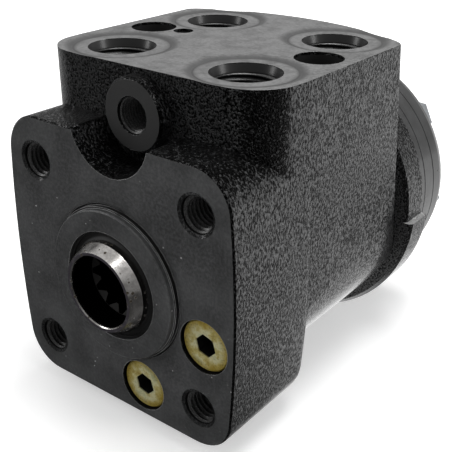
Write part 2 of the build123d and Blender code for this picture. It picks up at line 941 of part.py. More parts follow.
leaf_end_height = spring_slot_height / 2
leaf_reach = (leaf_half_length ** 2 - leaf_end_height ** 2) ** 0.5
with BuildPart() as bowed_springs:
    for side in (-1, 1):
        for layer in range(2):
            near = flat_leaf_thickness + 1.5 * leaf_gap + layer * (bowed_leaf_thickness + leaf_gap)
            far = near + bowed_leaf_thickness
            with BuildSketch(across(leaf_start)):
                with BuildLine():
                    ThreePointArc(
                        (-leaf_reach, side * (near + bowed_leaf_rise)),
                        (0, side * near),
                        (leaf_reach, side * (near + bowed_leaf_rise)),
                    )
                    Line(
                        (leaf_reach, side * (near + bowed_leaf_rise)),
                        (leaf_reach, side * (far + bowed_leaf_rise)),
                    )
                    ThreePointArc(
                        (leaf_reach, side * (far + bowed_leaf_rise)),
                        (0, side * far),
                        (-leaf_reach, side * (far + bowed_leaf_rise)),
                    )
                    Line(
                        (-leaf_reach, side * (far + bowed_leaf_rise)),
                        (-leaf_reach, side * (near + bowed_leaf_rise)),
                    )
                make_face()
            extrude(amount=-spring_leaf_width)
bowed_springs.part.label = "bowed_springs"
export_step(bowed_springs.part, "parts/bowed_springs.step")

# Cardan shaft, made straight along the spool axis and then tilted about the cross pin's centre
cardan_slot_half_width = pin_radius + cardan_slot_clearance
cardan_slot_end = pin_depth + cardan_fork_radius * sin(radians(cardan_tilt))
cardan_tooth_end = cardan_tooth_start + cardan_tooth_length
with BuildPart() as cardan_blank:
    revolve(
        half_section(
            (0, cardan_fork_start),
            (cardan_fork_radius - pin_end_bevel, cardan_fork_start),
            (cardan_fork_radius, cardan_fork_start + pin_end_bevel),
            (cardan_fork_radius, cardan_fork_end),
            (cardan_neck_radius, cardan_fork_end + cardan_fork_radius - cardan_neck_radius),
            (cardan_neck_radius, cardan_head_start),
            (wheel_spline_minor_radius - 2 * cardan_spline_clearance, cardan_tooth_start),
            (wheel_spline_minor_radius - 2 * cardan_spline_clearance, cardan_tooth_end),
            (0, cardan_tooth_end),
        ),
        axis=Axis.Y,
    )
    extrude(
        spline_sketch(
            cardan_tooth_start,
            wheel_spline_teeth,
            wheel_spline_minor_radius,
            wheel_spline_major_radius,
            wheel_space_inner_width,
            wheel_space_outer_width,
            cardan_spline_clearance,
        ),
        amount=cardan_tooth_length,
        dir=(0, 1, 0),
    )
    with BuildSketch(Plane.YZ):
        with Locations((cardan_slot_end, 0)):
            Circle(cardan_slot_half_width)
        with Locations(((cardan_fork_start - overcut + cardan_slot_end) / 2, 0)):
            Rectangle(cardan_slot_end - cardan_fork_start + overcut, 2 * cardan_slot_half_width)
    extrude(amount=cardan_fork_radius + overcut, both=True, mode=Mode.SUBTRACT)
with BuildPart() as cardan_shaft:
    add(cardan_blank.part.rotate(Axis((0, pin_depth, 0), (1, 0, 0)), cardan_tilt))
cardan_shaft.part.label = "cardan_shaft"
export_step(cardan_shaft.part, "parts/cardan_shaft.step")

# Distributor plate
with BuildPart() as distributor_plate:
    with BuildSketch(across(plate_front)):
        Circle(stack_radius)
        Circle(plate_bore_radius, mode=Mode.SUBTRACT)
        with PolarLocations(screw_circle_radius, rim_lobes, start_angle=lobe_start_angle):
            Circle(screw_radius + screw_clearance, mode=Mode.SUBTRACT)
        with PolarLocations(
            (meter_channel_circle + plate_slot_outer_circle) / 2,
            rim_lobes,
            start_angle=between_lobes(0),
        ):
            SlotCenterToCenter(
                plate_slot_outer_circle - meter_channel_circle,
                2 * meter_channel_radius,
                mode=Mode.SUBTRACT,
            )
    extrude(amount=-plate_thickness)
    chamfer(
        faces().filter_by(Axis.Y).edges().filter_by(GeomType.CIRCLE).group_by(SortBy.RADIUS)[-1],
        stack_bevel,
    )
distributor_plate.part.label = "distributor_plate"
export_step(distributor_plate.part, "parts/distributor_plate.step")

# Gear rim: a ring whose hollow has seven round lobes
with BuildPart() as gear_rim:
    with BuildSketch(across(gear_front)):
        Circle(stack_radius)
        with PolarLocations(screw_circle_radius, rim_lobes, start_angle=lobe_start_angle):
            Circle(screw_radius + screw_clearance, mode=Mode.SUBTRACT)
    extrude(amount=-gear_width)
    with BuildSketch(across(gear_front)):
        Circle(rim_hollow_radius)
        with PolarLocations(lobe_circle_radius, rim_lobes, start_angle=lobe_start_angle):
            Circle(lobe_radius, mode=Mode.SUBTRACT)
    extrude(amount=-gear_width, mode=Mode.SUBTRACT)
    revolve(stack_groove(gear_front, gear_front + stack_ring_height), axis=Axis.Y, mode=Mode.SUBTRACT)
    revolve(stack_groove(cover_front - stack_ring_height, cover_front), axis=Axis.Y, mode=Mode.SUBTRACT)
    chamfer(
        faces().filter_by(Axis.Y).edges().filter_by(GeomType.CIRCLE).group_by(SortBy.RADIUS)[-1],
        stack_bevel,
    )
gear_rim.part.label = "gear_rim"
export_step(gear_rim.part, "parts/gear_rim.step")

# Gear wheel: the curve that the rim's lobes leave as the wheel rolls round inside them
wheel_points = []
wheel_teeth = rim_lobes - 1
curve_steps = 20 * wheel_teeth
for curve_step in range(curve_steps):
    angle = radians(360 / curve_steps * curve_step)
    trace_x = lobe_circle_radius * cos(angle) - eccentricity * cos(rim_lobes * angle)
    trace_y = lobe_circle_radius * sin(angle) - eccentricity * sin(rim_lobes * angle)
    slope_x = -lobe_circle_radius * sin(angle) + rim_lobes * eccentricity * sin(rim_lobes * angle)
    slope_y = lobe_circle_radius * cos(angle) - rim_lobes * eccentricity * cos(rim_lobes * angle)
    slope = hypot(slope_x, slope_y)
    inset = lobe_radius + gear_clearance
    curve_x = trace_x - inset * slope_y / slope
    curve_y = trace_y + inset * slope_x / slope
    turn = radians(lobe_start_angle)
    wheel_points.append(
        (
            curve_x * cos(turn) - curve_y * sin(turn),
            curve_x * sin(turn) + curve_y * cos(turn) + eccentricity,
        )
    )
wheel_start = gear_front + seat_clearance
wheel_width = gear_width - 2 * seat_clearance
with BuildPart() as gear_wheel:
    with BuildSketch(across(wheel_start)):
        with BuildLine():
            Spline(*wheel_points, periodic=True)
        make_face()
    extrude(amount=-wheel_width)
    extrude(
        spline_sketch(
            wheel_start,
            wheel_spline_teeth,
            wheel_spline_minor_radius,
            wheel_spline_major_radius,
            wheel_space_inner_width,
            wheel_space_outer_width,
        ).moved(Location((0, 0, eccentricity))),
        amount=wheel_width,
        dir=(0, 1, 0),
        mode=Mode.SUBTRACT,
    )
gear_wheel.part.label = "gear_wheel"
export_step(gear_wheel.part, "parts/gear_wheel.step")

# Spacer disc in the wheel's bore, between the cardan shaft and the end cover
with BuildPart() as spacer_disc:
    with BuildSketch(across(cover_front - seat_clearance)):
        with Locations((0, eccentricity)):
            Circle(spacer_radius)
    extrude(amount=spacer_thickness)
spacer_disc.part.label = "spacer_disc"
export_step(spacer_disc.part, "parts/spacer_disc.step")

# End cover with its bevelled rear edge
with BuildPart() as end_cover:
    revolve(
        half_section(
            (0, cover_front),
            (stack_radius - stack_bevel, cover_front),
            (stack_radius, cover_front + stack_bevel),
            (stack_radius, cover_rear - cover_bevel_length),
            (stack_radius - cover_bevel_rise, cover_rear),
            (0, cover_rear),
        ),
        axis=Axis.Y,
    )
    with BuildSketch(across(cover_front)):
        with PolarLocations(screw_circle_radius, rim_lobes, start_angle=lobe_start_angle):
            Circle(screw_radius + screw_clearance)
    extrude(amount=-cover_thickness, mode=Mode.SUBTRACT)
end_cover.part.label = "end_cover"
export_step(end_cover.part, "parts/end_cover.step")

# O-rings of the stack
make_stack_ring("housing_o_ring", rear_face - stack_ring_height)
make_stack_ring("front_rim_o_ring", gear_front)
make_stack_ring("rear_rim_o_ring", cover_front - stack_ring_height)

# Seven cover screws and their sealing washers
with BuildPart() as cover_screws:
    with BuildSketch(across(head_seat)):
        for screw_index in range(rim_lobes):
            screw_angle = lobe_start_angle + lobe_angle_step * screw_index
            with Locations(on_circle(screw_circle_radius, screw_angle)):
                RegularPolygon(
                    screw_head_flats / 2,
                    6,
                    major_radius=False,
                    rotation=screw_angle + screw_head_turn,
                )
    extrude(amount=-screw_head_height)
    with BuildSketch(across(head_seat)):
        with PolarLocations(screw_circle_radius, rim_lobes, start_angle=lobe_start_angle):
            Circle(screw_radius - thread_clearance)
    extrude(amount=head_seat - rear_face + screw_engagement)
    chamfer(faces().group_by(Axis.Y)[-1].edges(), screw_head_bevel)
cover_screws.part.label = "cover_screws"
export_step(cover_screws.part, "parts/cover_screws.step")
with BuildPart() as cover_washers:
    with BuildSketch(across(cover_rear)):
        with PolarLocations(screw_circle_radius, rim_lobes, start_angle=lobe_start_angle):
            Circle(washer_radius)
            Circle(screw_radius + screw_clearance, mode=Mode.SUBTRACT)
    extrude(amount=-washer_thickness)
cover_washers.part.label = "cover_washers"
export_step(cover_washers.part, "parts/cover_washers.step")

# Check valve ball, and the threaded bushing that keeps it in
check_ball_middle = check_chamber_start + check_ball_radius + seat_clearance
make_ball("check_valve_ball", (check_place[0], check_ball_middle, check_place[1]), check_ball_radius)
with BuildPart() as check_valve_bushing:
    with BuildSketch(across(check_chamber_end + seat_clearance)):
        with Locations(check_place):
            Circle(check_thread_radius - thread_clearance)
            Circle(check_bushing_bore, mode=Mode.SUBTRACT)
    extrude(amount=-(check_bushing_length - seat_clearance))
check_valve_bushing.part.label = "check_valve_bushing"
export_step(check_valve_bushing.part, "parts/check_valve_bushing.step")

# Suction valves: a ball and a collared stop pin on each side
suction_ball_middle = suction_chamber_start + suction_ball_radius + seat_clearance
for valve_side, valve_index in suction_valve_indices.items():
    suction_x, suction_z = on_circle(rear_valve_circle, between_lobes(valve_index))
    make_ball(
        f"suction_valve_ball_{valve_side}",
        (suction_x, suction_ball_middle, suction_z),
        suction_ball_radius,
    )
    with BuildPart() as suction_stop:
        with BuildSketch(across(rear_face - seat_clearance)):
            with Locations((suction_x, suction_z)):
                Circle(suction_ball_radius + ball_clearance - thread_clearance)
        extrude(amount=suction_stop_collar_length)
        with BuildSketch(across(rear_face - suction_stop_collar_length)):
            with Locations((suction_x, suction_z)):
                Circle(suction_stop_stem_radius)
        extrude(amount=suction_stop_stem_length)
    suction_stop.part.label = f"suction_valve_stop_{valve_side}"
    export_step(suction_stop.part, f"parts/suction_valve_stop_{valve_side}.step")

# Shock valves: plug, seal, setting screw, spring, ball and seat in each bore
shock_seal_start = shock_mouth_depth - shock_seal_thickness
shock_setting_end = shock_setting_start + shock_setting_length
shock_seat_start = shock_bore_end - shock_seat_length
shock_ball_drop = (shock_ball_radius ** 2 - shock_seat_bore ** 2) ** 0.5
shock_ball_middle = shock_seat_start - shock_ball_drop - seat_clearance
shock_spring_end = shock_ball_middle - shock_ball_radius - shock_spring_wire_radius
for valve_side, shock_angle in shock_angles.items():
    shock_x, shock_z = on_circle(shock_circle_radius, shock_angle)
    with BuildPart() as shock_plug:
        with BuildSketch(across(shock_plug_face)):
            with Locations((shock_x, shock_z)):
                Circle(shock_plug_radius)
        extrude(amount=-(shock_seal_start - shock_plug_face - seat_clearance))
        chamfer(faces().sort_by(Axis.Y)[0].edges(), shock_plug_bevel)
        with BuildSketch(across(shock_plug_face)):
            with Locations((shock_x, shock_z)):
                RegularPolygon(
                    shock_plug_socket_flats / 2,
                    6,
                    major_radius=False,
                    rotation=shock_angle,
                )
        extrude(amount=-shock_plug_socket_depth, mode=Mode.SUBTRACT)
    shock_plug.part.label = f"shock_valve_plug_{valve_side}"
    export_step(shock_plug.part, f"parts/shock_valve_plug_{valve_side}.step")

    with BuildPart() as shock_seal:
        with BuildSketch(across(shock_seal_start)):
            with Locations((shock_x, shock_z)):
                Circle(shock_mouth_radius - seat_clearance)
                Circle(shock_bore_radius, mode=Mode.SUBTRACT)
        extrude(amount=-shock_seal_thickness)
    shock_seal.part.label = f"shock_valve_seal_{valve_side}"
    export_step(shock_seal.part, f"parts/shock_valve_seal_{valve_side}.step")

    with BuildPart() as shock_setting:
        with BuildSketch(across(shock_setting_start)):
            with Locations((shock_x, shock_z)):
                Circle(shock_bore_radius - thread_clearance)
                RegularPolygon(
                    shock_setting_socket_flats / 2,
                    6,
                    major_radius=False,
                    mode=Mode.SUBTRACT,
                )
        extrude(amount=-shock_setting_socket_depth)
        with BuildSketch(across(shock_setting_start + shock_setting_socket_depth)):
            with Locations((shock_x, shock_z)):
                Circle(shock_bore_radius - thread_clearance)
        extrude(amount=-(shock_setting_length - shock_setting_socket_depth))
    shock_setting.part.label = f"shock_valve_setting_screw_{valve_side}"
    export_step(shock_setting.part, f"parts/shock_valve_setting_screw_{valve_side}.step")

    spring_start = shock_setting_end + shock_spring_wire_radius + seat_clearance
    spring_length = shock_spring_end - spring_start
    with BuildPart() as shock_spring:
        with BuildLine() as coil:
            Helix(
                spring_length / shock_spring_turns,
                spring_length,
                shock_spring_coil_radius,
                center=(shock_x, spring_start, shock_z),
                direction=(0, 1, 0),
            )
        with BuildSketch(Plane(origin=coil.line @ 0, z_dir=coil.line % 0)):
            Circle(shock_spring_wire_radius)
        sweep(path=coil.line)
    shock_spring.part.label = f"shock_valve_spring_{valve_side}"
    export_step(shock_spring.part, f"parts/shock_valve_spring_{valve_side}.step")

    make_ball(
        f"shock_valve_ball_{valve_side}", (shock_x, shock_ball_middle, shock_z), shock_ball_radius
    )

    with BuildPart() as shock_seat:
        with BuildSketch(across(shock_seat_start)):
            with Locations((shock_x, shock_z)):
                Circle(shock_bore_radius - seat_clearance)
                Circle(shock_seat_bore, mode=Mode.SUBTRACT)
        extrude(amount=-(shock_seat_length - seat_clearance))
    shock_seat.part.label = f"shock_valve_seat_{valve_side}"
    export_step(shock_seat.part, f"parts/shock_valve_seat_{valve_side}.step")
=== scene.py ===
import math

import bmesh
import bpy
from mathutils import Matrix, Vector


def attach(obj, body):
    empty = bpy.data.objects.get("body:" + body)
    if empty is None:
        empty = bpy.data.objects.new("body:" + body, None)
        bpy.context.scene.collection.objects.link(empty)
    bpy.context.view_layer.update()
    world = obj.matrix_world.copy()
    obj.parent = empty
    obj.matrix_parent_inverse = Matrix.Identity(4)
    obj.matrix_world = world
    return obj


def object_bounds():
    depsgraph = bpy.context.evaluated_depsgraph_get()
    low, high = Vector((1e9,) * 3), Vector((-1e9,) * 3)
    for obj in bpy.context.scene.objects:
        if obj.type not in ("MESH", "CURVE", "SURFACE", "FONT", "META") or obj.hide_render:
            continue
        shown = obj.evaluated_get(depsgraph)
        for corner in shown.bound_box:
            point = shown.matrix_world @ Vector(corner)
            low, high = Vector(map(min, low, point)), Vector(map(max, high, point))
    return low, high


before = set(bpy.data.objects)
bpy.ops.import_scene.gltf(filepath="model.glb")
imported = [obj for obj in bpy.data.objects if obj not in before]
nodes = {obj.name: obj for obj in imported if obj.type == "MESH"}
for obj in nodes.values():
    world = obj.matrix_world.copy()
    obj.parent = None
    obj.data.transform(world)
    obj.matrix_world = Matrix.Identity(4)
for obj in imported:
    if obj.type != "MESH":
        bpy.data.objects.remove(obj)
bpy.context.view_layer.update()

mm = 0.001  # metres in a millimetre
print("frame loaded,", len(nodes), "nodes")


# shader maths

class Wire:
    # an output socket of a node tree; arithmetic on it adds Math nodes
    def __init__(self, tree, socket=None):
        self.tree = tree
        self.socket = socket

    def node(self, kind, settings=None, inputs=None, output=0):
        made = self.tree.nodes.new(kind)
        for key, value in (settings or {}).items():
            if key == "stops":
                fillRamp(made.color_ramp, value)
            else:
                setattr(made, key, value)
        for key, value in (inputs or {}).items():
            if isinstance(value, Wire):
                self.tree.links.new(value.socket, made.inputs[key])
            else:
                made.inputs[key].default_value = value
        return Wire(self.tree, made.outputs[output])

    def sum(self, operation, first, second=0.0):
        return self.node("ShaderNodeMath", {"operation": operation}, {0: first, 1: second})

    def __add__(self, other):
        return self.sum("ADD", self, other)

    def __radd__(self, other):
        return self.sum("ADD", other, self)

    def __sub__(self, other):
        return self.sum("SUBTRACT", self, other)

    def __rsub__(self, other):
        return self.sum("SUBTRACT", other, self)

    def __mul__(self, other):
        return self.sum("MULTIPLY", self, other)

    def __rmul__(self, other):
        return self.sum("MULTIPLY", other, self)

    # this one and the next are each other's reflected form
    def __gt__(self, other):
        return self.sum("GREATER_THAN", self, other)

    def __lt__(self, other):
        return self.sum("LESS_THAN", self, other)

    def either(self, other):
        return self.sum("MAXIMUM", self, other)

    def both(self, other):
        return self.sum("MINIMUM", self, other)

    def root(self):
        return self.sum("SQRT", self)

    def rise(self, low, high):
        # 0 below low, 1 above high, smooth between
        spread = {"Value": self, "From Min": low, "From Max": high}
        return self.node("ShaderNodeMapRange", {"interpolation_type": "SMOOTHSTEP"}, spread)

    def band(self, rising, falling):
        # up over the first pair of levels, down again over the second
        return self.rise(*rising) * (1 - self.rise(*falling))

    def between(self, low, high):
        # 1 from low to high, 0 elsewhere, with sharp ends
        return (self > low) * (self < high)


def fillRamp(ramp, stops):
    while len(ramp.elements) > 1:
        ramp.elements.remove(ramp.elements[-1])
    ramp.elements[0].position = stops[0][0]
    ramp.elements[0].color = stops[0][1]
    for place, colour in stops[1:]:
        ramp.elements.new(place).color = colour


def grey(level, warmth=0.0):
    # warmth above 0 leans to brown, below 0 to blue
    return (level * (1 + warmth), level, level * (1 - warmth), 1.0)


class Finish(Wire):
    # one material, with the wires that most finishes start from; x, y and z are in millimetres
    def __init__(self, name):
        self.material = bpy.data.materials.new(name)
        self.material.use_nodes = True
        super().__init__(self.material.node_tree)
        self.tree.nodes.clear()
        self.place = self.node("ShaderNodeTexCoord", output="Object")
        scaled = {0: self.place, "Scale": 1 / mm}
        self.x, self.y, self.z = self.axes(
            self.node("ShaderNodeVectorMath", {"operation": "SCALE"}, scaled)
        )
        facing = self.node("ShaderNodeTexCoord", output="Normal")
        self.facingY, self.facingZ = self.axes(facing)[1:]

    def axes(self, vector):
        split = self.node("ShaderNodeSeparateXYZ", None, {0: vector}).socket.node
        return [Wire(self.tree, split.outputs[name]) for name in "XYZ"]

    def noise(self, grain, detail, roughness=0.5, stretch=(1, 1, 1)):
        # grain is the width of one lump in millimetres
        spread = self.node("ShaderNodeMapping", None, {"Vector": self.place, "Scale": stretch})
        settings = {"Vector": spread, "Scale": 1 / (grain * mm), "Detail": detail, "Roughness": roughness}
        return self.node("ShaderNodeTexNoise", None, settings)

    def patches(self, grain, span, detail=3.0, roughness=0.6, stretch=(1, 1, 1)):
        # noise with the levels in its span spread over 0 to 1
        return self.noise(grain, detail, roughness, stretch).rise(*span)

    def cells(self, grain):
        # distance from the middle of the nearest cell, in cells
        settings = {"Vector": self.place, "Scale": 1 / (grain * mm)}
        return self.node("ShaderNodeTexVoronoi", None, settings)

    def mix(self, factor, first, second):
        return self.node("ShaderNodeMix", {"data_type": "RGBA"}, {0: factor, 6: first, 7: second}, 2)

    def blend(self, factor, first, second):
        return self.node("ShaderNodeMix", {"data_type": "FLOAT"}, {0: factor, 2: first, 3: second})

    def radius(self, first, second, firstMiddle=0.0, secondMiddle=0.0):
        across = first - firstMiddle
        along = second - secondMiddle
        return (across * across + along * along).root()

    def inside(self, first, second, circles):
        # 1 inside any of the circles, each given by its middle and its radius
        covered = None
        for firstMiddle, secondMiddle, radius in circles:
            near = self.radius(first, second, firstMiddle, secondMiddle) < radius
            covered = near if covered is None else covered.either(near)
        return covered

    def bump(self, height, depth, strength, under):
        # depth in millimetres; under is the normal that the bumps sit on
        inputs = {"Height": height, "Distance": depth * mm, "Strength": strength, "Normal": under}
        return self.node("ShaderNodeBump", None, inputs)

    def soften(self, radius):
        # the normal that an edge broken to this radius would have
        return self.node("ShaderNodeBevel", {"samples": 8}, {"Radius": radius * mm})

    def edge(self, radius, low, high):
        # 1 along the outer and inner edges, 0 on the faces between them
        true = self.node("ShaderNodeNewGeometry", output="True Normal")
        agree = {0: self.soften(radius), 1: true}
        dot = self.node("ShaderNodeVectorMath", {"operation": "DOT_PRODUCT"}, agree, "Value")
        return (1.0 - dot).rise(low, high)

    def surface(self, **inputs):
        named = {key.replace("_", " "): value for key, value in inputs.items()}
        shader = self.node("ShaderNodeBsdfPrincipled", None, named)
        output = self.tree.nodes.new("ShaderNodeOutputMaterial")
        self.tree.links.new(shader.socket, output.inputs["Surface"])
        return self.material


# the housing: where its holes are, in millimetres from the shaft's axis and the mounting face

sides = {"left": -1, "right": 1}
levels = {"lower": -1, "upper": 1}

holePlaces = {
    "columnOffset": 29.186,
    "portOffset": 22.05,
    "portRows": {"front": 29.18, "rear": 73.05},
    "fixingOffset": 30.14,
    "fixingRow": 51.4,
    "signalHeight": 45.9,
    "plugCircle": 32.24,
    "plugAngles": (-74.95, -15.05),  # degrees up from the right: the lower plug, then the right one
}


def aroundShaft(reach, degrees):
    angle = math.radians(degrees)
    return (reach * math.cos(angle), reach * math.sin(angle))


plugPlaces = [aroundShaft(holePlaces["plugCircle"], angle) for angle in holePlaces["plugAngles"]]
columnPlaces = [
    (across * holePlaces["columnOffset"], up * holePlaces["columnOffset"])
    for across in sides.values() for up in levels.values()
]
portPlaces = [
    (across * holePlaces["portOffset"], row)
    for across in sides.values() for row in holePlaces["portRows"].values()
]
fixingPlaces = [
    (across * holePlaces["fixingOffset"], holePlaces["fixingRow"])
    for across in sides.values()
]

# what the masks take in: a hole's circles are a little wider than the hole, a pair is a range
machined = {
    "frontFacing": (0.8, 0.95),
    "mountFace": 1.2,
    "bossFace": (8.0, 10.1),
    "pilotRadius": 23.6,
    "pilotBack": 0.6,
    "stepRadius": 22.3,
    "stepFront": -2.4,
    "portFacing": (0.3, 0.4),
    "portFace": 56.4,
    "mainBore": {"run": (1.0, 99.0), "circles": [(0.0, 0.0, 19.2)]},
    "frontHoles": {
        "run": (0.5, 30.0),
        "circles": [(*place, 6.05) for place in columnPlaces] + [(*place, 8.1) for place in plugPlaces],
    },
    "signalHole": {"run": (9.5, 40.0), "circles": [(0.0, holePlaces["signalHeight"], 5.4)]},
    "topHoles": {
        "run": (10.0, 56.9),
        "circles": [(*place, 9.95) for place in portPlaces]
        + [(*place, 7.05) for place in fixingPlaces]
        + [(-19.48, 52.96, 3.15)],  # the small drilling
    },
    "mouthsFrom": 54.0,
    "scallop": {"run": (0.4, 38.0), "circles": [(0.0, 45.4, 15.6)]},
    # the top of the rim's ledge, painted as a highlight
    "rimLedgeHighlight": {"front": 88.6, "heights": (-2.5, -1.5), "facing": (0.8, 0.95)},
}

housingLook = {
    # the next two: painted shade in the wrinkle valleys, and the paint with a painted sheen on its ridges
    "valleyShadePaint": grey(0.002),
    "ridgeSheenPaint": grey(0.028, -0.03),
    "faceLight": grey(0.082, -0.02),
    "faceDark": grey(0.026, -0.02),
    "faceScratch": grey(0.12),
    "bossColour": grey(0.032),
    # the top face's colours, painted lighter than the front as painted light
    "portLitLight": grey(0.25),
    "portLitDark": grey(0.09),
    # painted shade in the ring round each port
    "portRingShadeColour": grey(0.045),
    # painted shade: the bores black, the mouths of the top holes dark
    "boreShade": grey(0.006),
    "mouthShade": grey(0.03),
    # light grey for dust, and for the edges, partly worn paint and partly a painted highlight
    "dustAndEdgeHighlight": grey(0.62),
    "paintRoughness": 0.3,
    "underRoughness": 0.1,
    "faceRoughness": 0.42,
    "portRoughness": 0.42,
    "boreRoughness": 0.75,
    "mouthRoughness": 0.3,
    "mottleRoughness": 0.06,
    "portMetal": 0.3,
    "wornMetal": 0.4,
    "valleyMetal": 0.95,
    "underMetal": 0.05,
    "boreMetal": 0.7,
    "ridgeCoat": 0.75,
    "coatRoughness": 0.16,
}

# wrinkle paint, lengths in millimetres
wrinkles = {
    "sides": {"grain": 0.6, "detail": 2.0, "roughness": 0.55, "stretch": (1.0, 1.0, 0.62)},
    "walls": {"grain": 0.55, "detail": 2.0, "roughness": 0.55, "stretch": (1.0, 1.0, 0.9)},
    "fine": {"grain": 0.3, "detail": 1.0},
    "fineShare": 0.2,
    "fineRelief": 0.15,
    "creaseSpan": (0.34, 0.66),
    "ridgeSpan": (-0.01, 0.15),
    "depth": 0.5,
    "underFlat": 0.85,
    "edge": 0.22,
    "wallTurn": (0.15, 0.4),  # how far a surface is turned to the front or the back
    "cornerTurn": (0.86, 0.99),
    "cornerTilt": (0.2, 0.5),  # how far it is turned up
    "ledgeTilt": (0.3, 0.8),
    "underTilt": (0.25, 0.55),  # how far it is turned down
    "lowFrontRun": (0.0, 50.0),
    "lowFrontHeight": (-10.0, 25.0),
}

# the noise level that a glossy ridge starts at on the sides, and what other places add to it; a higher
# level leaves more black valley and so paints shade on the low front, walls, corners, ledges and scallop,
# and the lower level under the body paints a reflection there
ridgeAndShadeLevel = {
    "sides": 0.43,
    "lowFront": 0.035,
    "walls": 0.004,
    "corners": 0.11,
    "ledges": 0.085,
    "scallop": 0.01,
    "under": -0.2,
}

# marks that the cutters left, lengths in millimetres
cutMarks = {
    "turning": 9.0,  # radians in a millimetre
    "wander": {"grain": 9.0, "detail": 1.0},
    "wanderReach": 5.0,
    "turningShare": 0.5,
    "milling": {"grain": 0.35, "detail": 2.0, "roughness": 0.6, "stretch": (0.06, 1.0, 1.0)},
    "millingShare": 0.6,
    "depth": 0.006,
    "sweepSpan": (0.2, 0.9),
    "sweepRings": ((23.5, 24.5), (27.0, 32.0)),
    "sweepShare": 0.3,
    "scratchShare": 0.5,
    "markShare": 0.4,
}

# stains and wear on the bare faces, with painted shade round the ports and in their mouths and painted
# highlights along the edges
faceWearShadeAndHighlight = {
    "cloud": {"grain": 14.0, "span": (0.3, 0.7)},
    "cloudShare": 0.45,
    "mottle": {"grain": 0.9, "span": (0.35, 0.7), "roughness": 0.7},
    "scratch": {"grain": 1.2, "span": (0.66, 0.74), "roughness": 0.7, "stretch": (0.1, 1.0, 1.3)},
    "rubbed": {"grain": 5.0, "span": (0.3, 0.62), "detail": 4.0, "roughness": 0.7},
    "rubbedShare": 0.5,
    "dustCell": 2.6,
    "dustSize": 0.12,
    "dustEdge": 0.06,
    "dustPatch": {"grain": 6.0, "span": (0.5, 0.65), "detail": 1.0, "roughness": 0.5},
    "dustShare": 0.7,
    # painted shade round each port: a ring where the spotface wall slopes, and a dark line at its inner
    # edge
    "portRingShade": ((12.4, 14.1), (14.6, 17.0)),
    "portRingShadeShare": 0.8,
    "portGrooveShade": ((13.3, 13.7), (14.0, 14.4)),
    "portGrooveShadeShare": 0.95,
    # how much painted shade darkens the mouths of the top holes
    "mouthShadeShare": 0.7,
    "edge": (0.3, 0.04, 0.25),
    "edgePatch": {"grain": 5.0, "span": (0.25, 0.5), "detail": 2.0},
    "frontEdges": 0.9,
    "portEdges": 0.3,
}


def housingMasks(f):
    front = (0 - f.facingY).rise(*machined["frontFacing"])
    fromShaft = f.radius(f.x, f.z)
    masks = {
        "mountFace": front * (f.y < machined["mountFace"]),
        "bossFace": front * f.y.between(*machined["bossFace"]),
        "pilotSide": (f.y < machined["pilotBack"]) * (fromShaft < machined["pilotRadius"]),
        "portFace": (f.z > machined["portFace"]) * f.facingZ.rise(*machined["portFacing"]),
    }
    for name in ("mainBore", "frontHoles", "signalHole", "scallop"):
        hole = machined[name]
        masks[name] = f.inside(f.x, f.z, hole["circles"]) * f.y.between(*hole["run"])
    topHoles = machined["topHoles"]
    masks["topHoles"] = f.inside(f.x, f.y, topHoles["circles"]) * f.z.between(*topHoles["run"])
    masks["bores"] = masks["mainBore"].either(masks["frontHoles"])
    masks["bores"] = masks["bores"].either(masks["signalHole"]).either(masks["topHoles"])
    masks["mouths"] = (f.z > machined["mouthsFrom"]) * masks["bores"]
    masks["front"] = masks["mountFace"].either(masks["bossFace"]).either(masks["pilotSide"])
    masks["smooth"] = masks["front"].either(masks["portFace"]).either(masks["bores"])
    masks["cast"] = 1 - masks["smooth"]
    onStep = (fromShaft > machined["stepRadius"]) * (f.y > machined["stepFront"])
    masks["step"] = onStep * masks["pilotSide"]
    ledge = machined["rimLedgeHighlight"]
    onLedge = (f.y > ledge["front"]) * f.z.between(*ledge["heights"])
    masks["rimLedgeHighlight"] = onLedge * f.facingZ.rise(*ledge["facing"])
    return masks


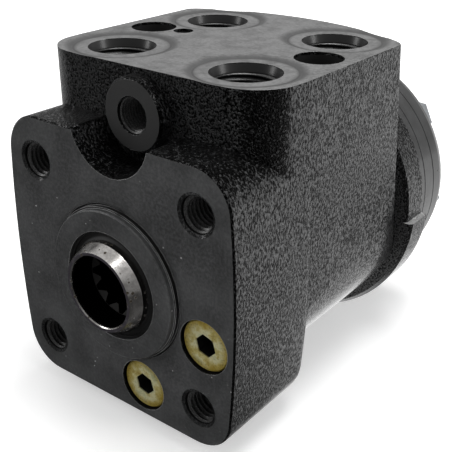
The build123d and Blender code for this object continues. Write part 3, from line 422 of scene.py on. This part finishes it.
def housingFinish():
    look = housingLook
    f = Finish("castHousing")
    masks = housingMasks(f)
    front, portFace, bores = masks["front"], masks["portFace"], masks["bores"]
    smooth, cast, mouths = masks["smooth"], masks["cast"], masks["mouths"]

    # the wrinkles are finer on the walls that face the front and the back
    turned = f.sum("ABSOLUTE", f.facingY)
    wall = turned.rise(*wrinkles["wallTurn"])
    offCorner = turned.rise(*wrinkles["cornerTurn"])
    corner = wall * (1 - offCorner) * (1 - f.facingZ.rise(*wrinkles["cornerTilt"]))
    lumps = f.blend(wall, f.noise(**wrinkles["sides"]), f.noise(**wrinkles["walls"]))
    fine = f.noise(**wrinkles["fine"])
    creases = lumps.rise(*wrinkles["creaseSpan"])

    # glossy ridges: dense on the sides, sparser on the walls and ledges; where they thin out the black
    # valleys paint shade, and under the body the dense ridges paint a reflection
    ledges = f.facingZ.rise(*wrinkles["ledgeTilt"])
    under = (0 - f.facingZ).rise(*wrinkles["underTilt"])
    towardFront = 1 - f.y.rise(*wrinkles["lowFrontRun"])
    lowFront = towardFront * (1 - f.z.rise(*wrinkles["lowFrontHeight"]))
    level = ridgeAndShadeLevel["sides"] + lowFront * ridgeAndShadeLevel["lowFront"] + wall * ridgeAndShadeLevel["walls"]
    level = level + corner * ridgeAndShadeLevel["corners"] + ledges * ridgeAndShadeLevel["ledges"]
    level = level + masks["scallop"] * cast * ridgeAndShadeLevel["scallop"] + under * ridgeAndShadeLevel["under"]
    heights = lumps * (1 - wrinkles["fineShare"]) + fine * wrinkles["fineShare"]
    ridgesWithSheen = (heights - level).rise(*wrinkles["ridgeSpan"])
    relief = (creases + fine * wrinkles["fineRelief"]) * cast * (1 - under * wrinkles["underFlat"])
    bumped = f.bump(relief, wrinkles["depth"], 1.0, f.soften(wrinkles["edge"]))

    # turned front, milled top
    wander = f.noise(**cutMarks["wander"]) * cutMarks["wanderReach"]
    fromShaft = f.radius(f.x, f.z)
    turning = f.sum("SINE", fromShaft * cutMarks["turning"] + wander)
    milling = f.noise(**cutMarks["milling"])
    marks = turning * front * cutMarks["turningShare"] + milling * portFace * cutMarks["millingShare"]
    bumped = f.bump(marks * smooth, cutMarks["depth"], 1.0, bumped)

    # colour of the front
    wear = faceWearShadeAndHighlight
    cloud = f.patches(**wear["cloud"])
    mottle = f.patches(**wear["mottle"])
    scratch = f.patches(**wear["scratch"]) * cutMarks["scratchShare"]
    sweep = turning.rise(*cutMarks["sweepSpan"]) * fromShaft.band(*cutMarks["sweepRings"]) * cloud
    dust = (wear["dustSize"] - f.cells(wear["dustCell"])).rise(0.0, wear["dustEdge"])
    dust = dust * f.patches(**wear["dustPatch"])
    stain = cloud * wear["cloudShare"] + mottle * (1 - wear["cloudShare"])
    faceColour = f.mix(stain, look["faceDark"], look["faceLight"])
    faceColour = f.mix(dust * wear["dustShare"], faceColour, look["dustAndEdgeHighlight"])
    cuts = (scratch + sweep * cutMarks["sweepShare"]) * cutMarks["markShare"]
    faceColour = f.mix(cuts, faceColour, look["faceScratch"])
    faceColour = f.mix(masks["bossFace"], faceColour, look["bossColour"])
    # the spigot's side next to the mounting face painted black as shade
    faceColour = f.mix(masks["step"], faceColour, look["boreShade"])

    # colour of the top, painted lighter than the front as painted light, with a painted shade ring round
    # each port where the spotface wall slopes and a painted dark line at its inner edge
    rubbed = f.patches(**wear["rubbed"])
    stain = rubbed * wear["rubbedShare"] + mottle * (1 - wear["rubbedShare"])
    portLitColour = f.mix(stain, look["portLitDark"], look["portLitLight"])
    for place in portPlaces:
        reach = f.radius(f.x, f.y, *place)
        ring = reach.band(*wear["portRingShade"]) * wear["portRingShadeShare"]
        ring = ring.either(reach.band(*wear["portGrooveShade"]) * wear["portGrooveShadeShare"])
        portLitColour = f.mix(ring, portLitColour, look["portRingShadeColour"])

    # painted shade in the wrinkle valleys, painted sheen on the ridges
    colour = f.mix(ridgesWithSheen, look["valleyShadePaint"], look["ridgeSheenPaint"])
    colour = f.mix(front, colour, faceColour)
    colour = f.mix(portFace, colour, portLitColour)
    # painted shade in the bores and in their mouths
    colour = f.mix(bores, colour, look["boreShade"])
    colour = f.mix(mouths * wear["mouthShadeShare"], colour, look["mouthShade"])
    # lightened edges: worn paint on the machined edges and partly a painted highlight; the top of the
    # rim's ledge is a painted highlight
    lightenedEdges = f.edge(*wear["edge"]) * (1 - bores) * f.patches(**wear["edgePatch"])
    lightenedEdges = lightenedEdges * (front * wear["frontEdges"]).either(portFace * wear["portEdges"])
    lightenedEdges = lightenedEdges.either(masks["rimLedgeHighlight"])
    colour = f.mix(lightenedEdges, colour, look["dustAndEdgeHighlight"])

    roughness = f.blend(smooth, look["paintRoughness"], look["faceRoughness"])
    roughness = f.blend(portFace, roughness, look["portRoughness"]) + mottle * look["mottleRoughness"]
    roughness = f.blend(bores, roughness, f.blend(mouths, look["boreRoughness"], look["mouthRoughness"]))
    roughness = f.blend(under * cast, roughness, look["underRoughness"])

    # light is lost in the valleys of the wrinkles and in the bores
    metallic = portFace * (1 - bores) * look["portMetal"] + lightenedEdges * look["wornMetal"]
    valleys = f.blend(under, look["valleyMetal"], look["underMetal"]) * cast * (1 - ridgesWithSheen)
    metallic = metallic.either(valleys).either(bores * (1 - mouths) * look["boreMetal"])
    return f.surface(
        Base_Color=colour,
        Roughness=roughness,
        Metallic=metallic,
        Coat_Weight=cast * (ridgesWithSheen * look["ridgeCoat"]).either(under),
        Coat_Roughness=look["coatRoughness"],
        Normal=bumped,
    )


# the other finishes; grains, radii and depths in millimetres

smallEdge = 0.12  # how far the edges of the small pieces are broken
patchSpan = (0.35, 0.65)  # noise levels over which one colour turns into the other
cutStretch = (0.15, 1.0, 0.15)  # draws a noise out across the shaft

stackLook = {
    "dark": grey(0.012),
    "light": grey(0.034, -0.02),
    "wornColour": grey(0.3),
    "alongShaft": {"grain": 0.5, "detail": 2.0, "roughness": 0.6, "stretch": (1.0, 0.05, 1.0)},
    "acrossShaft": {"grain": 0.4, "detail": 2.0, "roughness": 0.6, "stretch": (0.08, 1.0, 0.08)},
    "cloud": {"grain": 8.0, "detail": 3.0, "roughness": 0.6},
    "cloudSpan": (0.3, 0.7),
    "edge": (0.2, 0.05, 0.3),
    "edgePatch": {"grain": 2.0, "span": (0.4, 0.6), "roughness": 0.7},
    "wornShare": 0.5,
    "wornMetal": 0.4,
    "roughness": 0.24,
    "cloudRoughness": 0.1,
    "coat": 0.4,
    "coatRoughness": 0.16,
    "depth": 0.012,
    "strength": 0.6,
    "softEdge": 0.2,
}


def stackFinish():
    # smooth black paint over turned steel
    look = stackLook
    f = Finish("blackStack")
    brushed = f.noise(**look["alongShaft"]) + f.noise(**look["acrossShaft"])
    cloud = f.noise(**look["cloud"])
    colour = f.mix(cloud.rise(*look["cloudSpan"]), look["dark"], look["light"])
    lightenedEdges = f.edge(*look["edge"]) * f.patches(**look["edgePatch"])
    colour = f.mix(lightenedEdges * look["wornShare"], colour, look["wornColour"])
    return f.surface(
        Base_Color=colour,
        Roughness=look["roughness"] + cloud * look["cloudRoughness"],
        Metallic=lightenedEdges * look["wornMetal"],
        Coat_Weight=look["coat"],
        Coat_Roughness=look["coatRoughness"],
        Normal=f.bump(brushed, look["depth"], look["strength"], f.soften(look["softEdge"])),
    )


spoolLook = {
    "boreRadius": 10.75,
    "boreFront": -6.0,
    "faceFrom": 10.9,
    "faceFacing": (0.9, 0.97),
    "toothRun": (0.9, 2.4),
    "toothFacing": (0.3, 0.6),
    "dark": grey(0.38, 0.04),
    "light": grey(0.62, 0.03),
    "faceColour": (0.36, 0.33, 0.38, 1.0),
    "spotColour": (0.05, 0.04, 0.025, 1.0),
    "boreShade": grey(0.002),
    "toothShade": grey(0.12, 0.02),
    "ground": {"grain": 0.16, "detail": 2.0, "roughness": 0.6, "stretch": cutStretch},
    "cloud": {"grain": 3.0, "detail": 3.0, "roughness": 0.6},
    "spotCell": 1.5,
    "spotSize": 0.33,
    "spotEdge": 0.1,
    "spotPatch": {"grain": 4.0, "span": (0.46, 0.56), "detail": 1.0, "roughness": 0.5},
    "roughness": 0.15,
    "cloudRoughness": 0.08,
    "spotRoughness": 0.4,
    "faceRoughness": 0.15,
    "boreRoughness": 0.6,
    "spotDull": 0.8,
    "depth": 0.008,
    "strength": 0.6,
}


def spoolFinish():
    # bright turned end; the bore painted black as shade, with the first of its teeth showing in a dark
    # grey
    look = spoolLook
    f = Finish("polishedSpool")
    reach = f.radius(f.x, f.z)
    bore = (reach < look["boreRadius"]) * (f.y > look["boreFront"])
    face = (0 - f.facingY).rise(*look["faceFacing"]) * (reach > look["faceFrom"])
    cloud = f.noise(**look["cloud"])
    colour = f.mix(cloud.rise(*patchSpan), look["dark"], look["light"])
    colour = f.mix(face, colour, look["faceColour"])
    spot = (look["spotSize"] - f.cells(look["spotCell"])).rise(0.0, look["spotEdge"])
    spot = spot * f.patches(**look["spotPatch"]) * (1 - bore)
    colour = f.mix(spot, colour, look["spotColour"])
    teeth = f.y.between(*look["toothRun"]) * (0 - f.facingY).rise(*look["toothFacing"])
    # painted shade: the bore black, the front faces of its first teeth dark grey
    inside = f.mix(teeth, look["boreShade"], look["toothShade"])
    colour = f.mix(bore, colour, inside)
    rough = look["roughness"] + cloud * look["cloudRoughness"] + spot * look["spotRoughness"]
    rough = rough + face * look["faceRoughness"]
    ground = f.noise(**look["ground"])
    return f.surface(
        Base_Color=colour,
        Roughness=f.blend(bore, rough, look["boreRoughness"]),
        Metallic=1 - spot * look["spotDull"],
        Normal=f.bump(ground, look["depth"], look["strength"], f.soften(smallEdge)),
    )


steelLook = {
    "ground": {"detail": 2.0, "roughness": 0.6, "stretch": cutStretch},
    "cloud": {"grain": 3.0, "detail": 3.0, "roughness": 0.6},
    "cloudRoughness": 0.08,
    "depth": 0.008,
    "strength": 0.6,
}


def steelFinish(name, light, dark, roughness, grain):
    # ground steel with a film of oil
    look = steelLook
    f = Finish(name)
    ground = f.noise(grain, **look["ground"])
    cloud = f.noise(**look["cloud"])
    return f.surface(
        Base_Color=f.mix(cloud.rise(*patchSpan), dark, light),
        Roughness=roughness + cloud * look["cloudRoughness"],
        Metallic=1.0,
        Normal=f.bump(ground, look["depth"], look["strength"], f.soften(smallEdge)),
    )


zincLook = {
    "stops": [
        (0.30, (0.34, 0.22, 0.03, 1.0)),
        (0.44, (0.56, 0.48, 0.17, 1.0)),
        (0.55, (0.72, 0.69, 0.42, 1.0)),
        (0.70, (0.46, 0.48, 0.27, 1.0)),
    ],
    "rimColour": (0.44, 0.32, 0.04, 1.0),
    "grimeColour": (0.10, 0.08, 0.03, 1.0),
    "socketShade": grey(0.004),
    "patch": {"grain": 3.4, "detail": 3.0, "roughness": 0.6},
    "speck": {"grain": 0.5, "detail": 3.0, "roughness": 0.7},
    "rim": (4.6, 7.2),
    "rimShare": 0.85,
    "grimeRim": (5.0, 7.6),
    "grimeGain": 0.08,
    "grimeSpan": (0.55, 0.7),
    "grimeShare": 0.55,
    "socketFrom": 1.3,
    "roughness": 0.36,
    "speckRoughness": 0.2,
    "metal": 0.5,
    "depth": 0.03,
    "strength": 0.7,
    "softEdge": 0.15,
}


def zincFinish():
    # yellow chromate over zinc: pale in the middle, olive and amber patches, the socket painted black as
    # shade
    look = zincLook
    f = Finish("yellowZinc")
    patch = f.noise(**look["patch"])
    speck = f.noise(**look["speck"])
    colour = f.node("ShaderNodeValToRGB", {"stops": look["stops"]}, {"Fac": patch})
    lower, right = (f.radius(f.x, f.z, *place) for place in plugPlaces)
    reach = lower.both(right)
    colour = f.mix(reach.rise(*look["rim"]) * look["rimShare"], colour, look["rimColour"])
    grime = speck + reach.rise(*look["grimeRim"]) * look["grimeGain"]
    grime = grime.rise(*look["grimeSpan"]) * look["grimeShare"]
    colour = f.mix(grime, colour, look["grimeColour"])
    # painted shade: the inside of the socket black
    socket = f.y > look["socketFrom"]
    colour = f.mix(socket, colour, look["socketShade"])
    return f.surface(
        Base_Color=colour,
        Roughness=look["roughness"] + speck * look["speckRoughness"],
        Metallic=look["metal"] * (1 - socket),
        Normal=f.bump(speck, look["depth"], look["strength"], f.soften(look["softEdge"])),
    )


rubberLook = {
    "dark": grey(0.006),
    "light": grey(0.014),
    "skin": {"grain": 0.6, "detail": 3.0, "roughness": 0.6},
    "skinSpan": (0.4, 0.7),
    "roughness": 0.5,
    "skinRoughness": 0.2,
    "depth": 0.02,
    "strength": 0.5,
}


def rubberFinish():
    look = rubberLook
    f = Finish("sealRubber")
    skin = f.noise(**look["skin"])
    return f.surface(
        Base_Color=f.mix(skin.rise(*look["skinSpan"]), look["dark"], look["light"]),
        Roughness=look["roughness"] + skin * look["skinRoughness"],
        Normal=f.bump(skin, look["depth"], look["strength"], f.soften(smallEdge)),
    )


plainLook = {
    "wear": {"detail": 3.0, "roughness": 0.6},
    "wearRoughness": 0.1,
    "depth": 0.012,
    "strength": 0.5,
}


def plainFinish(name, light, dark, roughness, metallic, grain=0.6):
    look = plainLook
    f = Finish(name)
    wear = f.noise(grain, **look["wear"])
    return f.surface(
        Base_Color=f.mix(wear.rise(*patchSpan), dark, light),
        Roughness=roughness + wear * look["wearRoughness"],
        Metallic=metallic,
        Normal=f.bump(wear, look["depth"], look["strength"], f.soften(smallEdge)),
    )


finishes = {
    "castHousing": housingFinish(),
    "blackStack": stackFinish(),
    "polishedSpool": spoolFinish(),
    "groundSteel": steelFinish(
        "groundSteel", light=grey(0.58, 0.02), dark=grey(0.42, 0.03), roughness=0.28, grain=0.2
    ),
    "springSteel": steelFinish(
        "springSteel", light=grey(0.22, 0.03), dark=grey(0.12, 0.03), roughness=0.3, grain=0.2
    ),
    "yellowZinc": zincFinish(),
    "sealRubber": rubberFinish(),
    "sealPlastic": plainFinish(
        "sealPlastic", light=grey(0.07, 0.03), dark=grey(0.05, 0.03), roughness=0.4, metallic=0.0
    ),
    "copper": plainFinish(
        "copper", light=(0.62, 0.30, 0.17, 1.0), dark=(0.42, 0.18, 0.10, 1.0), roughness=0.3, metallic=1.0
    ),
    "screwZinc": plainFinish(
        "screwZinc", light=grey(0.48, -0.05), dark=grey(0.40, -0.03), roughness=0.3, metallic=0.9
    ),
    # iron of the threads, darkened as painted shade in the tapped holes
    "shadedThreadIron": plainFinish(
        "shadedThreadIron", light=grey(0.10), dark=grey(0.03), roughness=0.3, metallic=0.5, grain=0.3
    ),
}

# every other piece is ground steel
wornBy = {
    "castHousing": ["housing"],
    "blackStack": ["distributor_plate", "gear_rim", "end_cover"],
    "polishedSpool": ["spool"],
    "yellowZinc": ["shock_valve_plug_lower", "shock_valve_plug_right"],
    "sealRubber": [
        "dust_seal", "shaft_seal_o_ring", "housing_o_ring", "front_rim_o_ring", "rear_rim_o_ring",
    ],
    "sealPlastic": ["shaft_seal_ring"],
    "copper": ["cover_washers", "shock_valve_seal_lower", "shock_valve_seal_right"],
    "screwZinc": ["cover_screws"],
    "springSteel": [
        "flat_springs", "bowed_springs", "shock_valve_spring_lower", "shock_valve_spring_right",
    ],
}

for name, node in nodes.items():
    finish = next((key for key, members in wornBy.items() if name in members), "groundSteel")
    node.data.materials.clear()
    node.data.materials.append(finishes[finish])
print("finishes on", len(nodes), "nodes")


# threads in the tapped holes

threadShape = {
    "steps": 40,  # in one turn
    "height": 0.5413,  # in pitches, as the next two are
    "crestHalf": 0.125,
    "footHalf": 0.4375,
    "sunk": 0.03,  # millimetres that the foot goes into the wall
    "runOut": 0.5,  # turns over which each end dies away
    "endShare": 0.04,  # what is left of the ridge at its ends
}

# the kinds of tapped hole, in millimetres: where the mouth lies along the axis, and the run from there
threadKinds = {
    "column": {"axis": (0, 1, 0), "radius": 5.0, "pitch": 1.5, "run": (0.9, 17.0), "mouth": 0},
    "port": {"axis": (0, 0, -1), "radius": 9.0, "pitch": 1.5, "run": (2.6, 15.0), "mouth": 57.08},
    "signal": {"axis": (0, 1, 0), "radius": 5.0, "pitch": 1.0, "run": (0.5, 11.2), "mouth": 9.3},
    "fixing": {"axis": (0, 0, -1), "radius": 5.0, "pitch": 1.5, "run": (0.8, 21.5), "mouth": 49.7},
}


def makeThread(name, mouth, kind):
    # a ridge of trapezium section that winds down the wall of a plain bore
    shape = threadShape
    pitch, steps = kind["pitch"], shape["steps"]
    foot = kind["radius"] + shape["sunk"]
    crest = kind["radius"] - shape["height"] * pitch
    section = [
        (foot, -shape["footHalf"]),
        (crest, -shape["crestHalf"]),
        (crest, shape["crestHalf"]),
        (foot, shape["footHalf"]),
    ]
    axis = Vector(kind["axis"])
    across = axis.orthogonal().normalized()
    along = axis.cross(across)
    start, end = kind["run"]
    count = int((end - start) / pitch * steps)
    runOut = steps * shape["runOut"]
    mesh = bmesh.new()
    rings = []
    for step in range(count + 1):
        angle = 2 * math.pi * step / steps
        outward = across * math.cos(angle) + along * math.sin(angle)
        depth = start + pitch * step / steps
        share = max(min(1.0, step / runOut, (count - step) / runOut), shape["endShare"])
        ring = []
        for radius, shift in section:
            reach = foot + (radius - foot) * share
            point = Vector(mouth) + axis * (depth + shift * pitch * share) + outward * reach
            ring.append(mesh.verts.new(point * mm))
        rings.append(ring)
    for near, far in zip(rings, rings[1:]):
        for corner in range(len(section)):
            following = (corner + 1) % len(section)
            mesh.faces.new((near[corner], near[following], far[following], far[corner]))
    mesh.faces.new(rings[0])
    mesh.faces.new(reversed(rings[-1]))
    bmesh.ops.recalc_face_normals(mesh, faces=mesh.faces)
    data = bpy.data.meshes.new(name)
    mesh.to_mesh(data)
    mesh.free()
    made = bpy.data.objects.new(name, data)
    bpy.context.scene.collection.objects.link(made)
    data.materials.append(finishes["shadedThreadIron"])
    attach(made, "housing_body")


def placeThreads():
    column, port, signal, fixing = (threadKinds[name] for name in ("column", "port", "signal", "fixing"))
    for side, across in sides.items():
        x = across * holePlaces["columnOffset"]
        for level, up in levels.items():
            mouth = (x, column["mouth"], up * holePlaces["columnOffset"])
            makeThread("column_thread_" + level + "_" + side, mouth, column)
    for row, y in holePlaces["portRows"].items():
        for side, across in sides.items():
            mouth = (across * holePlaces["portOffset"], y, port["mouth"])
            makeThread("port_thread_" + row + "_" + side, mouth, port)
    makeThread("signal_thread", (0, signal["mouth"], holePlaces["signalHeight"]), signal)
    for side, across in sides.items():
        mouth = (across * holePlaces["fixingOffset"], holePlaces["fixingRow"], fixing["mouth"])
        makeThread("fixing_thread_" + side, mouth, fixing)


placeThreads()
print("threads cut")


# camera, floor and light

view = {
    "place": (143.84, -135.91, 113.07),  # millimetres
    "turn": 36.98,  # degrees, as the next two are
    "rise": 26.59,
    "roll": 0.67,
    "focus": 811.9,  # in pixels of the frame, as the next two are
    "frame": 452,
    "middle": (236.3, 234.6),
    "sensor": 36.0,  # millimetres
    "nearest": 0.01,  # metres
}


def placeCamera():
    turn, rise, roll = (math.radians(view[key]) for key in ("turn", "rise", "roll"))
    back = Vector((math.sin(turn) * math.cos(rise), -math.cos(turn) * math.cos(rise), math.sin(rise)))
    right = Vector((math.cos(turn), math.sin(turn), 0))
    up = back.cross(right)
    turnedRight = right * math.cos(roll) + up * math.sin(roll)
    turnedUp = up * math.cos(roll) - right * math.sin(roll)
    data = bpy.data.cameras.new("camera")
    data.sensor_width = view["sensor"]
    data.lens = view["focus"] / view["frame"] * view["sensor"]
    data.shift_x = (view["frame"] / 2 - view["middle"][0]) / view["frame"]
    data.shift_y = (view["middle"][1] - view["frame"] / 2) / view["frame"]
    data.clip_start = view["nearest"]
    camera = bpy.data.objects.new("camera", data)
    spun = Matrix((turnedRight, turnedUp, back)).transposed().to_4x4()
    camera.matrix_world = Matrix.Translation(Vector(view["place"]) * mm) @ spun
    bpy.context.scene.collection.objects.link(camera)
    bpy.context.scene.camera = camera


def lightPath(wire):
    path = wire.node("ShaderNodeLightPath").socket.node
    return [Wire(wire.tree, path.outputs[name]) for name in ("Is Camera Ray", "Is Glossy Ray")]


floorLook = {
    "size": 3.0,  # metres
    "colour": grey(0.94),
    "lift": 0.4,  # the paper's own white near the object
    "liftRun": (250.0, 700.0),  # millimetres out, over which that grows to full white
    "sheet": (0.06, 0.95),  # how bright it is in reflections, before and behind the object
    "sheetRun": (-15.0, 75.0),
}


def placeFloor():
    # white paper: a little of its own white for the camera, and a white sheet in reflections
    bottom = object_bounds()[0][2]
    half = floorLook["size"] / 2
    mesh = bpy.data.meshes.new("floor")
    corners = [(-half, -half, 0), (half, -half, 0), (half, half, 0), (-half, half, 0)]
    mesh.from_pydata(corners, [], [(0, 1, 2, 3)])
    floor = bpy.data.objects.new("floor", mesh)
    floor.location = (0, 0, bottom)
    f = Finish("whitePaper")
    toCamera, toGloss = lightPath(f)
    paper = f.node("ShaderNodeBsdfDiffuse", None, {"Color": floorLook["colour"]})
    farOff = f.radius(f.x, f.y).rise(*floorLook["liftRun"])
    own = toCamera * (floorLook["lift"] + farOff * (1 - floorLook["lift"]))
    lift = f.node("ShaderNodeEmission", None, {"Strength": own})
    shown = f.node("ShaderNodeAddShader", None, {0: paper, 1: lift})
    before, behind = floorLook["sheet"]
    sheet = before + (behind - before) * f.y.rise(*floorLook["sheetRun"])
    mirrored = f.node("ShaderNodeEmission", None, {"Strength": sheet})
    mixed = f.node("ShaderNodeMixShader", None, {0: toGloss, 1: shown, 2: mirrored})
    output = f.tree.nodes.new("ShaderNodeOutputMaterial")
    f.tree.links.new(mixed.socket, output.inputs["Surface"])
    mesh.materials.append(f.material)
    bpy.context.scene.collection.objects.link(floor)


# how bright the room is in reflections, and its plain light on everything else
worldLook = {
    "front": 0.1,
    "back": 0.45,
    "backRun": (-0.6, 0.5),
    "above": 0.4,
    "aboveRun": (0.3, 0.9),
    "ambient": 0.42,
}


def placeWorld():
    # white to the camera; softer for the object, with the brighter half behind it
    world = bpy.data.worlds.new("studio")
    world.use_nodes = True
    world.node_tree.nodes.clear()
    w = Wire(world.node_tree)
    toCamera, toGloss = lightPath(w)
    direction = w.node("ShaderNodeTexCoord", output="Generated")
    split = w.node("ShaderNodeSeparateXYZ", None, {0: direction}).socket.node
    backward, upward = (Wire(w.tree, split.outputs[name]) for name in "YZ")
    backGain = worldLook["back"] - worldLook["front"]
    room = worldLook["front"] + backGain * backward.rise(*worldLook["backRun"])
    room = room + upward.rise(*worldLook["aboveRun"]) * worldLook["above"]
    strength = toCamera + (1 - toCamera) * (toGloss * room + (1 - toGloss) * worldLook["ambient"])
    light = w.node("ShaderNodeBackground", None, {"Color": grey(1.0), "Strength": strength})
    output = w.tree.nodes.new("ShaderNodeOutputWorld")
    w.tree.links.new(light.socket, output.inputs["Surface"])
    bpy.context.scene.world = world


# metres and watts; all of them point at one spot in the middle of the object
lampTarget = (0, 0.05, 0)
lamps = {
    "overheadSoftbox": {"place": (0.10, 0.15, 0.75), "size": (0.5, 0.3), "power": 4.0},
    "leftSoftbox": {"place": (-0.75, -0.45, 0.35), "size": (0.2, 0.6), "power": 2.0},
    "rightSoftbox": {"place": (0.80, 0.45, 0.22), "size": (0.2, 0.6), "power": 2.0},
}


def placeLamps():
    for name, lamp in lamps.items():
        data = bpy.data.lights.new(name, "AREA")
        data.shape = "RECTANGLE"
        data.size, data.size_y = lamp["size"]
        data.energy = lamp["power"]
        box = bpy.data.objects.new(name, data)
        box.location = lamp["place"]
        toward = Vector(lampTarget) - Vector(lamp["place"])
        box.rotation_euler = toward.to_track_quat("-Z", "Y").to_euler()
        bpy.context.scene.collection.objects.link(box)


placeCamera()
placeFloor()
placeWorld()
placeLamps()
bpy.context.scene.view_settings.view_transform = "Standard"
print("camera, floor and light in place")
